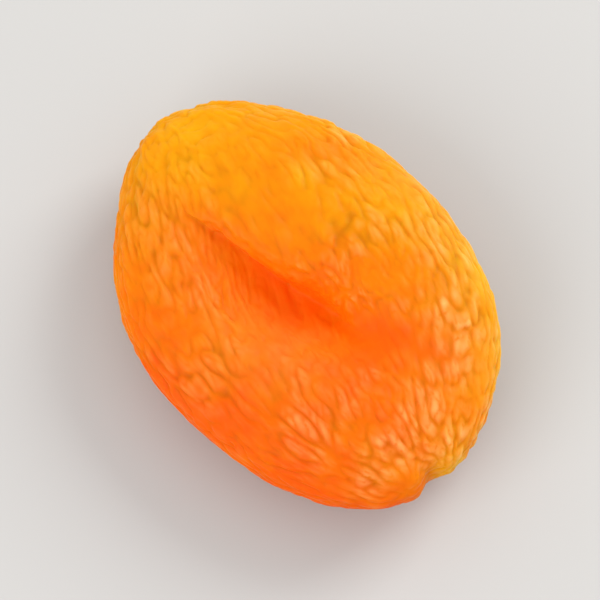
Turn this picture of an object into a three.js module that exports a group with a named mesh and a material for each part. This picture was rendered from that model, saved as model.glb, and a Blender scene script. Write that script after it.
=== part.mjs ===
// A whole dried apricot, pressed free of its stone before drying. It lies flat with the hollow
// that the stone left facing up. Millimetres, +Z up, +X towards the stem end.
// The origin is under the middle of the fruit, on the surface that it rests on.
import * as THREE from "three";
import { ImprovedNoise } from "three/addons/math/ImprovedNoise.js";
import { mergeVertices } from "three/addons/utils/BufferGeometryUtils.js";

// Driving sizes of the dried fruit.
const LENGTH = 40;
const WIDTH = 28.6;
const THICKNESS = 12.8;

// The plump body before the hollow and the wrinkles. The powers give the squareness of the plan
// outline and of the section through the rim, where 2 is an ellipse.
const BODY = new THREE.Vector3(LENGTH, WIDTH, 0.9 * THICKNESS).divideScalar(2);
const PLAN_POWER = 2.1;
const RIM_POWER = 2.35;

// The plan outline's unevenness: [order, cosine share, sine share] of the radius.
const OUTLINE_WAVES = [
  [1, 0.012, 0.007],
  [3, -0.013, -0.002],
  [4, 0.016, -0.013],
  [5, -0.007, -0.004],
];

// The heights between which the shaping of the top side takes hold.
const TOP_SIDE = [-0.07 * THICKNESS, 0.21 * THICKNESS];

// The stone hollow: a wedge along the fruit, under a steep plump lobe on its +Y side and with a
// gentle slope on its -Y side. It opens from a pointed start near the tip and fades out towards
// the stem end. Its edge follows offset + slope x + bend x^2. Each width is [at the start, at the
// end], and deepens, fades and widens are shares of the way from the start to the end.
const HOLLOW = {
  from: -0.355 * LENGTH,
  to: 0.37 * LENGTH,
  offset: -0.047 * WIDTH,
  slope: 0.36,
  bend: 0.2 / LENGTH,
  depth: 0.37 * THICKNESS,
  deepens: [0.02, 0.57],
  fades: [0.38, 1],
  widens: [0, 0.65],
  steepWidth: [0.035 * WIDTH, 0.13 * WIDTH],
  steepWidens: [0.4, 1],
  gentleWidth: [0.15 * WIDTH, 0.29 * WIDTH],
};

// The lobe's lip leans over the hollow. It rises from the floor of the hollow to its full reach,
// and the lean fades away across the lobe.
const LIP = {
  reach: 0.06 * WIDTH,
  rise: 0.3 * THICKNESS,
  begins: [0.02, 0.3],
  ends: [0.5, 0.85],
  foot: [-0.006 * WIDTH, 0.016 * WIDTH],
  fade: [0.048 * WIDTH, 0.32 * WIDTH],
};
const LOBE = { lift: 0.086 * THICKNESS, rise: 0.29 * WIDTH, fade: 0.27 * LENGTH };
const DISH = { depth: 0.057 * THICKNESS, reach: 0.75 };

// The notch at the stem end, where the stone came out, and the puckered skin at both ends.
const NOTCH = { depth: 1, offset: -0.7, halfWidth: 1.1, halfHeight: 3.2, reach: 3 };
const PUCKER = { folds: 11, depth: 0.32, inset: 2.3, reach: 3.6 };

// Wrinkles in two sizes, drawn out from the stem end to the tip.
const FOLDS = { pitch: 4.7, stretch: 0.36, height: 0.11, shift: 3.7 };
const WRINKLES = { pitch: 1.8, stretch: 0.38, height: 0.27, shift: 11.3 };
const RIDGE_SHARPNESS = 2.2;
const WANDER = 0.6;

// The flat spot under the fruit, with the share of its size over which it fades out.
const REST_SPOT = { length: 10, width: 7.2, fade: 0.8 };

// Mesh: the sphere's triangles are spread so that they end up even on the flattened fruit.
const SPHERE_DETAIL = 23;
const SPREAD = new THREE.Vector3(1.2, 1, 0.65);
const WELD = 1e-5;

const noise = new ImprovedNoise();

function smoothStep(low, high, value) {
  return THREE.MathUtils.smoothstep(value, low, high);
}

function bell(distance, width) {
  return Math.exp(-((distance / width) ** 2));
}

function between([start, end], share) {
  return start + (end - start) * share;
}

function evenSphere() {
  const sphere = new THREE.IcosahedronGeometry(1, SPHERE_DETAIL);
  sphere.deleteAttribute("normal");
  sphere.deleteAttribute("uv");
  const welded = mergeVertices(sphere, WELD);
  const place = welded.attributes.position;
  const direction = new THREE.Vector3();
  for (let i = 0; i < place.count; i++) {
    direction.fromBufferAttribute(place, i).multiply(SPREAD).normalize();
    place.setXYZ(i, direction.x, direction.y, direction.z);
  }
  return welded;
}

function outlineFactor(angle) {
  return OUTLINE_WAVES.reduce(
    (sum, [order, c, s]) => sum + c * Math.cos(order * angle) + s * Math.sin(order * angle),
    1,
  );
}

// The point of the plump body that lies in a direction from its middle.
function bodyPoint(direction) {
  const x = Math.abs(direction.x / BODY.x) ** PLAN_POWER;
  const y = Math.abs(direction.y / BODY.y) ** PLAN_POWER;
  const z = Math.abs(direction.z / BODY.z) ** RIM_POWER;
  const radius = ((x + y) ** (RIM_POWER / PLAN_POWER) + z) ** (-1 / RIM_POWER);
  const point = direction.clone().multiplyScalar(radius);
  const factor = outlineFactor(Math.atan2(point.y / BODY.y, point.x / BODY.x));
  point.x *= factor;
  point.y *= factor;
  return point;
}

function sinkHollow(point) {
  const top = smoothStep(...TOP_SIDE, point.z);
  const share = (point.x - HOLLOW.from) / (HOLLOW.to - HOLLOW.from);
  const lean = smoothStep(...LIP.begins, share) * (1 - smoothStep(...LIP.ends, share));
  const edge = HOLLOW.offset + HOLLOW.slope * point.x + HOLLOW.bend * point.x ** 2;
  const across = point.y - edge - LIP.reach * lean;

  const deep = smoothStep(...HOLLOW.deepens, share) * (1 - smoothStep(...HOLLOW.fades, share));
  const steepWidth = between(HOLLOW.steepWidth, smoothStep(...HOLLOW.steepWidens, share));
  const gentleWidth = between(HOLLOW.gentleWidth, smoothStep(...HOLLOW.widens, share));
  const gentle = (1 + (across / gentleWidth) ** 2) ** -1.5;
  const wall = across > 0 ? bell(across, steepWidth) : gentle;
  const outward = Math.hypot(point.x / BODY.x, point.y / BODY.y);
  const lobeEnds = smoothStep(0, LOBE.fade, BODY.x - Math.abs(point.x));
  point.z -= top * HOLLOW.depth * deep * wall;
  point.z -= top * DISH.depth * bell(outward, DISH.reach);
  point.z += top * LOBE.lift * smoothStep(0, LOBE.rise, across) * lobeEnds;

  const overFloor = smoothStep(0, LIP.rise, point.z);
  const onLip = smoothStep(...LIP.foot, across) * (1 - smoothStep(...LIP.fade, across));
  point.y -= LIP.reach * lean * top * onLip * overFloor;
}

function sinkNotch(point) {
  const end = smoothStep(BODY.x - NOTCH.reach, BODY.x, point.x);
  const notch = bell(point.y - NOTCH.offset, NOTCH.halfWidth) * bell(point.z, NOTCH.halfHeight);
  point.x -= NOTCH.depth * end * notch;
}

function shapeBody(geometry) {
  const place = geometry.attributes.position;
  const direction = new THREE.Vector3();
  for (let i = 0; i < place.count; i++) {
    const point = bodyPoint(direction.fromBufferAttribute(place, i));
    sinkHollow(point);
    sinkNotch(point);
    place.setXYZ(i, point.x, point.y, point.z);
  }
}

// Rounded ridges with narrow furrows between them, 0 in a furrow and 1 on a ridge.
function ridges(point, { pitch, stretch, shift }) {
  const x = (point.x * stretch) / pitch + shift;
  const y = point.y / pitch;
  const z = point.z / pitch;
  const bend = WANDER * noise.noise(x / 2, y / 2 + shift, z / 2);
  const wave = noise.noise(x + bend, y + bend, z - bend);
  return Math.min(1, Math.sqrt(Math.abs(wave) * RIDGE_SHARPNESS));
}

// Folds that gather towards the stem end and the tip, 0 between them and 1 in a fold.
function puckers(point) {
  const inFromEnd = BODY.x - Math.abs(point.x) - PUCKER.inset;
  const turn = Math.atan2(point.z, point.y);
  const phase = (turn * PUCKER.folds) / 2 + WANDER * Math.sin(turn * 3);
  return (1 - Math.abs(Math.sin(phase))) * bell(inFromEnd, PUCKER.reach);
}

function wrinkleDepth(point) {
  const folds = FOLDS.height * (1 - ridges(point, FOLDS));
  const wrinkles = WRINKLES.height * (1 - ridges(point, WRINKLES));
  return folds + wrinkles + PUCKER.depth * puckers(point);
}

function sinkWrinkles(geometry) {
  geometry.computeVertexNormals();
  const place = geometry.attributes.position;
  const normal = geometry.attributes.normal;
  const point = new THREE.Vector3();
  const outward = new THREE.Vector3();
  for (let i = 0; i < place.count; i++) {
    point.fromBufferAttribute(place, i);
    outward.fromBufferAttribute(normal, i);
    point.addScaledVector(outward, -wrinkleDepth(point));
    place.setXYZ(i, point.x, point.y, point.z);
  }
}

// Presses the spot that the fruit lies on flat, at the lowest height of the underside.
function flattenRestSpot(geometry) {
  geometry.computeBoundingBox();
  const floor = geometry.boundingBox.min.z;
  const place = geometry.attributes.position;
  for (let i = 0; i < place.count; i++) {
    const height = place.getZ(i);
    const x = place.getX(i) / (REST_SPOT.length / 2);
    const y = place.getY(i) / (REST_SPOT.width / 2);
    if (height < 0) {
      const curved = smoothStep(1, 1 + REST_SPOT.fade, Math.hypot(x, y));
      place.setZ(i, floor + (height - floor) * curved);
    }
  }
}

// Scales the fruit to its driving sizes and stands it on the surface.
function fitToSize(geometry) {
  geometry.computeBoundingBox();
  const size = geometry.boundingBox.getSize(new THREE.Vector3());
  const middle = geometry.boundingBox.getCenter(new THREE.Vector3());
  geometry.translate(-middle.x, -middle.y, -geometry.boundingBox.min.z);
  geometry.scale(LENGTH / size.x, WIDTH / size.y, THICKNESS / size.z);
}

const apricotSkin = new THREE.MeshStandardMaterial({
  color: new THREE.Color(0.93, 0.47, 0.09),
  roughness: 0.5,
  metalness: 0,
});

function makeApricot() {
  const geometry = evenSphere();
  shapeBody(geometry);
  sinkWrinkles(geometry);
  flattenRestSpot(geometry);
  fitToSize(geometry);
  const apricot = new THREE.Mesh(geometry, apricotSkin);
  apricot.name = "dried_apricot";
  return apricot;
}

const part = new THREE.Group();
part.add(makeApricot());

export default part;
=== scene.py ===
import math

import bmesh
import bpy
import numpy as np
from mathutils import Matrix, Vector, noise
from mathutils.bvhtree import BVHTree


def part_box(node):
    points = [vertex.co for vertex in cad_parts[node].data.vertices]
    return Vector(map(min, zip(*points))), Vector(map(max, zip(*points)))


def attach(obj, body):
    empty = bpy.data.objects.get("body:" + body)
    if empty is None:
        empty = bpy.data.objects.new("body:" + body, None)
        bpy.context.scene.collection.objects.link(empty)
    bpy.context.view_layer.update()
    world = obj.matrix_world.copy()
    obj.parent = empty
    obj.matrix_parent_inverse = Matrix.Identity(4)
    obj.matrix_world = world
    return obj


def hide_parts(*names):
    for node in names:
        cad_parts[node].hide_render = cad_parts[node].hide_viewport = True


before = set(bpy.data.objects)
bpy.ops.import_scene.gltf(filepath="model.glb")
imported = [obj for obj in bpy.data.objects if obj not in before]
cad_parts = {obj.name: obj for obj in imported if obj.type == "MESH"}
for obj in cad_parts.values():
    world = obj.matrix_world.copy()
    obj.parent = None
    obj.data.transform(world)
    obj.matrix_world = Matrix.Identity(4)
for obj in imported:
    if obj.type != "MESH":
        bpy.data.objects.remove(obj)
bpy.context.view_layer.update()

# A whole dried apricot lying with its stone hollow up, on a plain pale floor in soft light.
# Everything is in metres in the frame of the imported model: +X to the stem end, +Y to the
# plump lobe that leans over the hollow, +Z up.

LOW, HIGH = (Vector(corner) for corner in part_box("dried_apricot"))
MIDDLE = (LOW + HIGH) / 2
MM = 0.001

# The skin's mesh: the solid's triangles are split twice, and evened out after each split.
WELD = 0.01 * MM
SPLITS = 2
EVENING = 0.5

# Pressing the wrinkles in can fold a furrow shut. Where two triangles meet at a sharper angle
# than this one, the furrow is opened again, a little in each round.
FOLDING = {"sharpest": math.radians(60), "rounds": 4}

# Wrinkles that shrinking drew into the skin. They run along the grain of the flesh, from pole to
# pole, because a way along the grain counts as only "squeeze" of its length, so values spread
# further there. The grain turns by "middle_turn" in the middle of the fruit and by "rim_turn" at
# its rim. A pass spreads a value by one step, so step and passes set the distance between two
# furrows, which changes by "variation" from patch to patch. A second pattern, read beside the first
# one, lifts parts of each furrow, so that it breaks off and doesn't close to a ring. Fine creases
# lie over the long wrinkles.
GRAIN = {"pole": 1.1 * HIGH.x, "middle_turn": -0.36, "rim_turn": -0.12, "squeeze": 0.31}
SPREAD = {"variation": 0.4, "least_flow": 0.03}
WRINKLES = {"seed_size": 0.6 * MM, "step": 0.028 * MM, "fine_passes": 30, "wide_passes": 150}
CREASES = {"seed_size": 0.4 * MM, "step": 0.022 * MM, "fine_passes": 14, "wide_passes": 70}
BREAKS = {"beside": 50 * MM, "lift": 0.6}
ROUNDS = 2
FURROW = {"width": 0.5, "depth": 0.41 * MM, "crease_depth": 0.13 * MM}

# Patches where the wrinkles lie closer or wider, and where they are deeper or shallower
PATCHES = {"size": 5.0 * MM, "mean": 0.8, "least": 0.55}

# Places where the skin stayed smooth, as middle and reach in millimetres, and how smooth
SMOOTH_PLACES = [
    ((-12, 3, 10), 5.5),
    ((-5, 1.5, 10.5), 4.5),
    ((0, -1, 7), 3.5),
    ((9, 3.5, 9), 4),
    ((7.5, 1.7, 8), 3),
    ((4, -12.5, 5), 3.5),
    ((15, -6.5, 5), 4),
    ((-14, -9, 4), 3.5),
    ((-1, -13, 5.5), 3),
    ((18, -1.5, 5), 4),
    ((10.5, -10.5, 5), 4.5),
    ((12.5, -8, 6), 3),
]
SMOOTHNESS = 0.5

# The stone hollow's full depth under the fruit's stretched outline
HOLLOW_DEPTH = 3.5 * MM

# Colours of the flesh, red and golden, partly its own and partly painted shade and light, of the
# pale painted sheen on its highest places, of the painted shade in its lowest places and of the
# stone hollow's painted shade and red glow
RED_FLESH = (0.79, 0.1, 0.001, 1)
GOLDEN_FLESH = (0.75, 0.37, 0.001, 1)
SHEEN_COLOR = (0.85, 0.46, 0.16, 1)
FURROW_SHADE = (0.42, 0.12, 0.001, 1)
HOLLOW_SHADE_GLOW = (0.93, 0.14, 0.001, 1)

# How much painted shade the low places lay over the flesh, at most: darker in the creases and
# furrows, and in the stone hollow a deep red that paints both shade and the glow of light in the
# flesh. Also the share of the hollow's depth at which its painted shade begins
SHADE_SHARES = {"crease": 0.2, "furrow": 0.4, "hollow": 0.7}
HOLLOW_EDGE = 0.15

# Ripeness, 0 where the flesh is red and 1 where it is golden, partly the fruit's own colour and
# partly painted light and shade: the golden side is painted as lit, the red side as shaded. It grows
# along "direction" from the first place and share to the second, and towards the rim, and it is
# mottled in two sizes.
SUNNY_AND_LIT_SIDE = {"direction": (-0.35, 0.94, 0), "places": (-16 * MM, 20 * MM), "share": (0.12, 0.72)}
RIM = {"inner": 0.3, "outer": 1.0, "change": 0.14}
MOTTLE = {"size": 6.0 * MM, "change": 0.2}
FINE_MOTTLE = {"size": 1.4 * MM, "change": 0.11}

# Places that are more golden or redder than the flesh around them, partly from ripening and partly
# painted light and shade, as middle and reach in millimetres and the change in ripeness
RIPER_AND_LIT_PLACES = [
    # Round the tip
    ((-17, 0, 9), 5, 0.28),
    ((-12.5, -2, 10.3), 3.6, 0.24),
    ((-11.5, 4.5, 12), 4, -0.08),
    ((-12, -8.5, 6), 6, -0.12),
    # On the lobe
    ((-9.8, 3.2, 11.5), 2.5, 0.1),
    ((-8.3, 0, 11.5), 2.5, 0.15),
    ((-6.7, 5.4, 11.5), 1.5, 0.5),
    ((-6.6, 8.8, 10.5), 3, -0.4),
    ((-5.8, 4.6, 11), 2, 0.12),
    ((-3.5, 5.5, 11), 5, 0.18),
    ((-1.9, 5, 10.8), 2.2, 0.2),
    ((2, 10.5, 9.5), 3, 0.12),
    # In the hollow and on its slopes
    ((-8.3, -2.6, 9.7), 1.8, -0.22),
    ((-6.2, -3.2, 7.5), 1.8, 0.3),
    ((-6, -4.5, 7.5), 2.5, 0.22),
    ((-3.6, -0.6, 6.5), 2.2, -0.35),
    ((-1, 1.8, 8.5), 2.8, -0.4),
    ((2.6, -1.9, 6.5), 2.8, -0.12),
    ((7.5, 1.7, 8), 2.5, -0.42),
    ((9, 4, 8.5), 4, -0.39),
    ((11, 0, 8), 3.5, -0.08),
    # At the rim beside the lobe
    ((1, 14.3, 6.5), 3.5, -0.22),
    ((7.5, 12, 7), 5, 0.31),
    ((10.5, 6.8, 8), 3.3, -0.04),
    ((14, 9.5, 6), 4, 0.36),
    ((14.5, 4.7, 6.3), 4.5, -0.22),
    # On the gentle side
    ((-1, -13.2, 4.5), 4, -0.4),
    ((0, -12, 6), 2.5, -0.12),
    ((1.5, -7.6, 10), 2.5, 0.14),
    ((4, -12.5, 4), 5, -0.44),
    ((5, -7, 9), 4, -0.08),
    # At the stem end
    ((11.3, -8.8, 5.8), 3.8, -0.5),
    ((13.3, -2.9, 7), 2, 0.42),
    ((15, -6, 4), 4.8, -0.73),
    ((17, -2.3, 6), 2, -0.38),
    ((19, 1, 6), 1.8, 0.55),
]

# The pale painted sheen lies on crests higher than "start", more of it towards one side, and in
# patches.
PAINTED_SHEEN = {"start": 0.25, "patches": 2 * MM, "noise": (0.35, 0.65), "cover": (0.2, 0.6)}
SHEEN_SIDE = {"direction": (0.6, 0.8, 0), "places": (-15 * MM, 15 * MM), "share": (0.75, 3.6)}

# Places with more or less of the painted sheen, whatever the crests, given like the riper places
SHEEN_PLACES = [
    ((-3, 13.5, 7), 4, 0.32),
    ((2, 3, 9.2), 4, -0.3),
    ((3, -3.5, 8), 4.5, 0.3),
    ((5, 13.5, 6), 4.5, 0.34),
    ((11, -8, 6.5), 3.5, -0.2),
    ((13, 10.5, 5), 4.5, 0.38),
    ((13.3, -2.9, 7), 1.5, 0.6),
]

# The skin's uneven gloss, its finest grain, and the light that scatters in the flesh
GLOSS = {"patches": 2 * MM, "noise": (0.3, 0.7), "roughness": (0.35, 0.5), "specular": 0.05}
PORES = {"size": 0.25 * MM, "strength": 0.3, "height": 0.05 * MM}
GLOW = {"weight": 0.7, "radius": (1.0, 0.2, 0.08), "scale": 3 * MM}

# Camera, floor and light. Angles are in degrees. A lamp's place is how far it stands to the right of
# the middle of the picture, above it and over the floor.
CAMERA = {"azimuth": 53.4, "elevation": 68.0, "distance": 0.6, "half_view": 2.4}
CAMERA_TARGET = Vector((MIDDLE.x, MIDDLE.y, 6 * MM))
NEAREST_SEEN = 0.01
FLOOR = {"side": 3, "color": (0.5, 0.49, 0.475, 1), "roughness": 0.8}
SKY = {"color": (1, 1, 1, 1), "strength": 0.88}
LAMPS = {
    "window": {"right": 0.28, "above": 0.24, "height": 0.28, "size": 0.25, "power": 1.35},
    "far_wall": {"right": -0.3, "above": -0.3, "height": 0.3, "size": 0.4, "power": 1.5},
}


def averaged(values, surface, step, passes):
    """Spreads values over the skin by averaging each point with its neighbours."""
    start, end, weight = surface["start"], surface["end"], surface["weight"]
    share = np.minimum(1, step ** 2 * surface["ease"])
    for _ in range(passes):
        inflow = np.bincount(start, weight * values[end], len(values))
        inflow += np.bincount(end, weight * values[start], len(values))
        values = values + share * (inflow / surface["total"] - values)
    return values


def even_out(skin, verts):
    """Draws points towards the middle of their neighbours."""
    bmesh.ops.smooth_vert(
        skin,
        verts=verts,
        factor=EVENING,
        use_axis_x=True,
        use_axis_y=True,
        use_axis_z=True,
    )


def split_skin(node):
    """Copies the solid's skin, splits its triangles and evens them out."""
    skin = bmesh.new()
    skin.from_mesh(node.data)
    bmesh.ops.remove_doubles(skin, verts=skin.verts, dist=WELD)
    for _ in range(SPLITS):
        bmesh.ops.subdivide_edges(skin, edges=skin.edges, cuts=1, use_grid_fill=True)
        even_out(skin, skin.verts)
    skin.normal_update()
    skin.verts.index_update()
    return skin


def outward_share(points):
    """How far out each point lies, 0 in the middle of the fruit and 1 at its rim."""
    return np.linalg.norm(points[:, :2] / (HIGH.x, HIGH.y), axis=1)


def grain_at(places):
    """The direction from the tip to the stem end, bent like the lines on a melon."""
    x, y = places[:, 0], places[:, 1]
    turn = np.interp(outward_share(places), (0, 1), (GRAIN["middle_turn"], GRAIN["rim_turn"]))
    bend = turn - x * y / (GRAIN["pole"] ** 2 - x ** 2)
    along = np.stack((np.ones(len(x)), bend, np.zeros(len(x))), axis=1)
    return along / np.linalg.norm(along, axis=1)[:, None]


def squeezed(vectors, grain):
    """Shortens vectors along the grain, which is given for each of them."""
    return vectors - (1 - GRAIN["squeeze"]) * grain * np.sum(vectors * grain, axis=1)[:, None]


def read_surface(skin):
    """Reads the skin as arrays, with how freely values flow along the sides of its triangles."""
    points = np.array([v.co for v in skin.verts])
    normals = np.array([v.normal for v in skin.verts])
    corners = np.array([[v.index for v in f.verts] for f in skin.faces])
    outward = np.array([f.normal for f in skin.faces])
    grain = grain_at(points[corners].mean(axis=1))
    grain -= outward * np.sum(outward * grain, axis=1)[:, None]
    count = len(points)
    area = np.zeros(count)
    sides = []
    for turn in range(3):
        tip, left, right = np.roll(corners, turn, axis=1).T
        to_left = squeezed(points[left] - points[tip], grain)
        to_right = squeezed(points[right] - points[tip], grain)
        doubled = np.linalg.norm(np.cross(to_left, to_right), axis=1)
        flow = np.maximum(np.sum(to_left * to_right, axis=1) / doubled, SPREAD["least_flow"])
        sides.append((left, right, flow / 2))
        # Each corner has a third of its triangle.
        area += np.bincount(tip, doubled / 6, count)
    start, end, weight = (np.concatenate(part) for part in zip(*sides))
    total = np.bincount(start, weight, count) + np.bincount(end, weight, count)
    reach = 1 + SPREAD["variation"] * noise_at(points, PATCHES["size"])
    return {
        "points": points,
        "normals": normals,
        "start": start,
        "end": end,
        "weight": weight,
        "total": total,
        "ease": reach ** 2 * total / area,
    }


def noise_at(points, size):
    """Soft noise from -1 to 1 that depends only on where a point lies."""
    return np.array([noise.noise(Vector(point) / size) for point in points])


def grow_pattern(surface, size, beside):
    """Lets ripples grow out of noise until they fill the skin. They go from -1 to 1."""
    pattern = noise_at(surface["points"] + beside, size["seed_size"])
    for _ in range(ROUNDS):
        fine = averaged(pattern, surface, size["step"], size["fine_passes"])
        height = fine - averaged(fine, surface, size["step"], size["wide_passes"])
        pattern = np.tanh(height / height.std())
    return pattern


def draw_wrinkles(surface, size):
    """Lays ridges on both sides of each ripple's middle line. 0 is a furrow and 1 a ridge."""
    ripples = grow_pattern(surface, size, 0)
    breaks = BREAKS["lift"] * grow_pattern(surface, size, BREAKS["beside"])
    return np.hypot(ripples, breaks) / math.hypot(1, BREAKS["lift"])


def wrinkle_strength(points):
    """How deep the wrinkles are at each point, from patches and from the smooth places."""
    strength = np.clip(PATCHES["mean"] + noise_at(points, PATCHES["size"]), PATCHES["least"], 1)
    for middle, reach in SMOOTH_PLACES:
        away = np.linalg.norm(points / MM - middle, axis=1) / reach
        strength *= 1 - SMOOTHNESS * np.exp(-away ** 4)
    return strength


def press_in(skin, places):
    """Moves the skin's points to their new places and opens furrows that would fold shut."""
    for vertex, place in zip(skin.verts, places):
        vertex.co = place
    for _ in range(FOLDING["rounds"]):
        skin.normal_update()
        sharp = [e for e in skin.edges if e.calc_face_angle() > FOLDING["sharpest"]]
        folded = {vertex for edge in sharp for vertex in edge.verts}
        even_out(skin, sorted(folded, key=lambda vertex: vertex.index))
    skin.normal_update()


def hollow_depth(skin, points):
    """How far each point lies under a film stretched over the fruit, 1 in the stone hollow."""
    film = skin.copy()
    hull = bmesh.ops.convex_hull(film, input=film.verts, use_existing_faces=False)
    spare = set(film.faces) - {g for g in hull["geom"] if isinstance(g, bmesh.types.BMFace)}
    bmesh.ops.delete(film, geom=list(spare), context="FACES_ONLY")
    tree = BVHTree.FromBMesh(film)
    film.free()
    depth = np.array([tree.find_nearest(Vector(point))[3] for point in points])
    return np.clip(depth / HOLLOW_DEPTH, 0, 1)


def share_along(points, side):
    """A share that grows towards one side of the fruit."""
    return np.interp(points @ side["direction"], side["places"], side["share"])


def spots_at(points, places):
    """The sum of soft round spots, each with its middle, its reach and its change."""
    total = np.zeros(len(points))
    for middle, reach, change in places:
        away = np.linalg.norm(points / MM - middle, axis=1) / reach
        total += change * np.exp(-away ** 2)
    return total


def ripeness_and_light_at(points):
    """How far the flesh has turned from red to golden at each point, partly ripeness and partly
    painted light and shade.
    """
    ripeness_and_light = share_along(points, SUNNY_AND_LIT_SIDE)
    to_rim = (-RIM["change"], RIM["change"])
    ripeness_and_light += np.interp(outward_share(points), (RIM["inner"], RIM["outer"]), to_rim)
    for mottle in (MOTTLE, FINE_MOTTLE):
        ripeness_and_light += mottle["change"] * noise_at(points, mottle["size"])
    return ripeness_and_light + spots_at(points, RIPER_AND_LIT_PLACES)


def sheen_at(points, strength, ridge, fine_ridge):
    """How thick the painted sheen is at each point, from the crests and the sheen places."""
    sheen = np.maximum(strength * ridge - PAINTED_SHEEN["start"], 0) ** 2 * fine_ridge
    return sheen * share_along(points, SHEEN_SIDE) + spots_at(points, SHEEN_PLACES)


def add_attribute(mesh, name, values):
    """Writes a number for each point, which the skin's material reads by its name."""
    attribute = mesh.attributes.new(name, "FLOAT", "POINT")
    attribute.data.foreach_set("value", values.astype(np.float32))


def make_skin(node):
    """Makes the wrinkled skin that replaces the solid, with what its material reads."""
    skin = split_skin(node)
    surface = read_surface(skin)
    points = surface["points"]
    ridge = draw_wrinkles(surface, WRINKLES)
    fine_ridge = draw_wrinkles(surface, CREASES)
    hollow = hollow_depth(skin, points)
    strength = wrinkle_strength(points) * (1 - SMOOTHNESS * hollow ** 2)
    sink = FURROW["depth"] * (1 - ridge) + FURROW["crease_depth"] * (1 - fine_ridge)
    placed = points - surface["normals"] * (strength * sink)[:, None]
    placed[:, 2] = np.maximum(placed[:, 2], LOW.z)
    press_in(skin, placed)

    mesh = bpy.data.meshes.new("apricot_skin")
    skin.to_mesh(mesh)
    skin.free()
    # Where the furrows and creases get their painted shade
    add_attribute(mesh, "furrow", strength * np.exp(-(ridge / FURROW["width"]) ** 2))
    add_attribute(mesh, "crease", strength * np.exp(-(fine_ridge / FURROW["width"]) ** 2))
    # Where the crests get their pale painted sheen
    add_attribute(mesh, "sheen", sheen_at(points, strength, ridge, fine_ridge))
    # The hollow's depth, which also sets where its painted shade and red glow lie
    add_attribute(mesh, "hollow", hollow)
    # Ripeness, partly the fruit's own colour and partly painted light and shade
    add_attribute(mesh, "ripeness_and_light", ripeness_and_light_at(points))
    mesh.shade_smooth()
    mesh.update()
    apricot = bpy.data.objects.new("apricot", mesh)
    bpy.context.scene.collection.objects.link(apricot)
    return apricot


class Material:
    """A node material with short calls for placing nodes and linking them."""

    def __init__(self, name):
        self.made = bpy.data.materials.new(name)
        self.made.use_nodes = True
        self.tree = self.made.node_tree
        self.shader = self.tree.nodes["Principled BSDF"]

    def node(self, kind, **settings):
        node = self.tree.nodes.new("ShaderNode" + kind)
        for name, value in settings.items():
            setattr(node, name, value)
        return node

    def link(self, source, target):
        self.tree.links.new(source, target)

    def set(self, **values):
        """Sets constants on the shader's own sockets, with _ for each space in a name."""
        for name, value in values.items():
            self.shader.inputs[name.replace("_", " ")].default_value = value

    def attribute(self, name):
        return self.node("Attribute", attribute_name=name).outputs["Fac"]

    def noise(self, size):
        texture = self.node("TexNoise")
        texture.inputs["Scale"].default_value = 1 / size
        self.link(self.node("TexCoord").outputs["Object"], texture.inputs["Vector"])
        return texture.outputs["Fac"]

    def spread(self, value, source, target):
        """Maps a value's source range onto a target range, held at its ends."""
        spread = self.node("MapRange")
        for name, number in zip(("From Min", "From Max", "To Min", "To Max"), source + target):
            spread.inputs[name].default_value = number
        self.link(value, spread.inputs["Value"])
        return spread.outputs["Result"]

    def multiply(self, first, second):
        product = self.node("Math", operation="MULTIPLY")
        self.link(first, product.inputs[0])
        self.link(second, product.inputs[1])
        return product.outputs["Value"]

    def blend(self, factor, first, second):
        """Mixes two colours, each a fixed colour or the output of a node."""
        mix = self.node("Mix", data_type="RGBA")
        self.link(factor, mix.inputs["Factor"])
        for socket, colour in zip(("A", "B"), (first, second)):
            if isinstance(colour, tuple):
                mix.inputs[socket].default_value = colour
            else:
                self.link(colour, mix.inputs[socket])
        return mix.outputs["Result"]


def skin_color(skin):
    """Ripe flesh with a pale painted sheen on it, painted shade in the creases and furrows, and
    painted shade and a red painted glow in the stone hollow; the flesh's red and gold are partly
    painted shade and light.
    """
    # Red or golden flesh, partly ripeness and partly painted light and shade
    flesh = skin.blend(skin.attribute("ripeness_and_light"), RED_FLESH, GOLDEN_FLESH)
    # The pale painted sheen on the crests, in patches
    patches = skin.spread(skin.noise(PAINTED_SHEEN["patches"]), PAINTED_SHEEN["noise"], PAINTED_SHEEN["cover"])
    flesh = skin.blend(skin.multiply(skin.attribute("sheen"), patches), flesh, SHEEN_COLOR)
    # Painted shade in the creases and furrows
    for low in ("crease", "furrow"):
        painted_shade = skin.spread(skin.attribute(low), (0, 1), (0, SHADE_SHARES[low]))
        flesh = skin.blend(painted_shade, flesh, FURROW_SHADE)
    # Painted shade and a red painted glow in the stone hollow
    hollow = skin.spread(skin.attribute("hollow"), (HOLLOW_EDGE, 1), (0, SHADE_SHARES["hollow"]))
    return skin.blend(hollow, flesh, HOLLOW_SHADE_GLOW)


def skin_material():
    skin = Material("apricot_skin")
    skin.link(skin_color(skin), skin.shader.inputs["Base Color"])
    roughness = skin.spread(skin.noise(GLOSS["patches"]), GLOSS["noise"], GLOSS["roughness"])
    skin.link(roughness, skin.shader.inputs["Roughness"])
    relief = skin.node("Bump")
    relief.inputs["Strength"].default_value = PORES["strength"]
    relief.inputs["Distance"].default_value = PORES["height"]
    skin.link(skin.noise(PORES["size"]), relief.inputs["Height"])
    skin.link(relief.outputs["Normal"], skin.shader.inputs["Normal"])
    skin.set(
        Specular_IOR_Level=GLOSS["specular"],
        Subsurface_Weight=GLOW["weight"],
        Subsurface_Radius=GLOW["radius"],
        Subsurface_Scale=GLOW["scale"],
    )
    return skin.made


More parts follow.
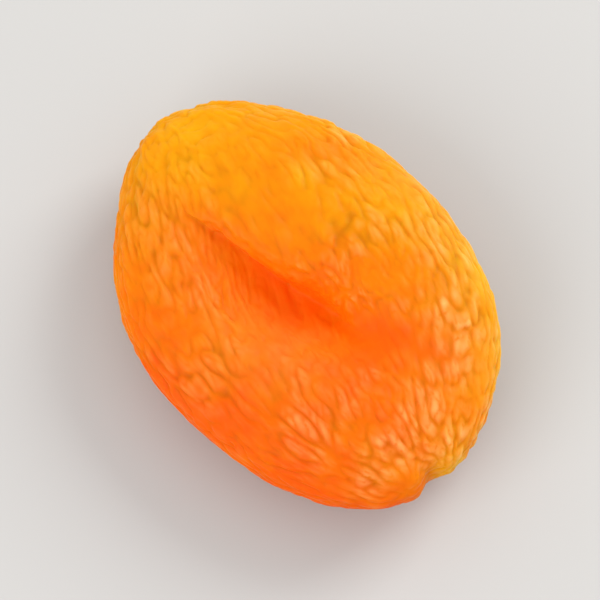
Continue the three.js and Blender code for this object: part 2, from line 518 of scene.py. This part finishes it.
def make_floor():
    bpy.ops.mesh.primitive_plane_add(size=FLOOR["side"])
    floor = bpy.context.object
    floor.name = "floor"
    pale = Material("pale_floor")
    pale.set(Base_Color=FLOOR["color"], Roughness=FLOOR["roughness"])
    floor.data.materials.append(pale.made)


def make_camera():
    """Looks down on the fruit with its stem end at the lower right, as in the photograph."""
    azimuth, elevation = math.radians(CAMERA["azimuth"]), math.radians(CAMERA["elevation"])
    back = Vector((
        math.sin(azimuth) * math.cos(elevation),
        -math.cos(azimuth) * math.cos(elevation),
        math.sin(elevation),
    ))
    half_view = math.radians(CAMERA["half_view"])
    camera = bpy.data.objects.new("camera", bpy.data.cameras.new("camera"))
    bpy.context.scene.collection.objects.link(camera)
    camera.location = CAMERA_TARGET + back * CAMERA["distance"]
    camera.rotation_euler = (-back).to_track_quat("-Z", "Y").to_euler()
    camera.data.lens = camera.data.sensor_width / (2 * math.tan(half_view))
    camera.data.clip_start = NEAREST_SEEN
    bpy.context.scene.camera = camera


def make_sky():
    sky = bpy.data.worlds.new("soft_daylight")
    sky.use_nodes = True
    background = sky.node_tree.nodes["Background"]
    background.inputs["Color"].default_value = SKY["color"]
    background.inputs["Strength"].default_value = SKY["strength"]
    bpy.context.scene.world = sky


def make_lamps():
    azimuth = math.radians(CAMERA["azimuth"])
    right = Vector((math.cos(azimuth), math.sin(azimuth), 0))
    above = Vector((-math.sin(azimuth), math.cos(azimuth), 0))
    for name, lamp in LAMPS.items():
        data = bpy.data.lights.new(name, "AREA")
        data.size = lamp["size"]
        data.energy = lamp["power"]
        light = bpy.data.objects.new(name, data)
        height = Vector((0, 0, lamp["height"]))
        light.location = right * lamp["right"] + above * lamp["above"] + height
        light.rotation_euler = (-light.location).to_track_quat("-Z", "Y").to_euler()
        bpy.context.scene.collection.objects.link(light)


bpy.context.scene.view_settings.view_transform = "Standard"
apricot = make_skin(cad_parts["dried_apricot"])
apricot.data.materials.append(skin_material())
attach(apricot, "root")
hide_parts("dried_apricot")
make_floor()
make_camera()
make_sky()
make_lamps()
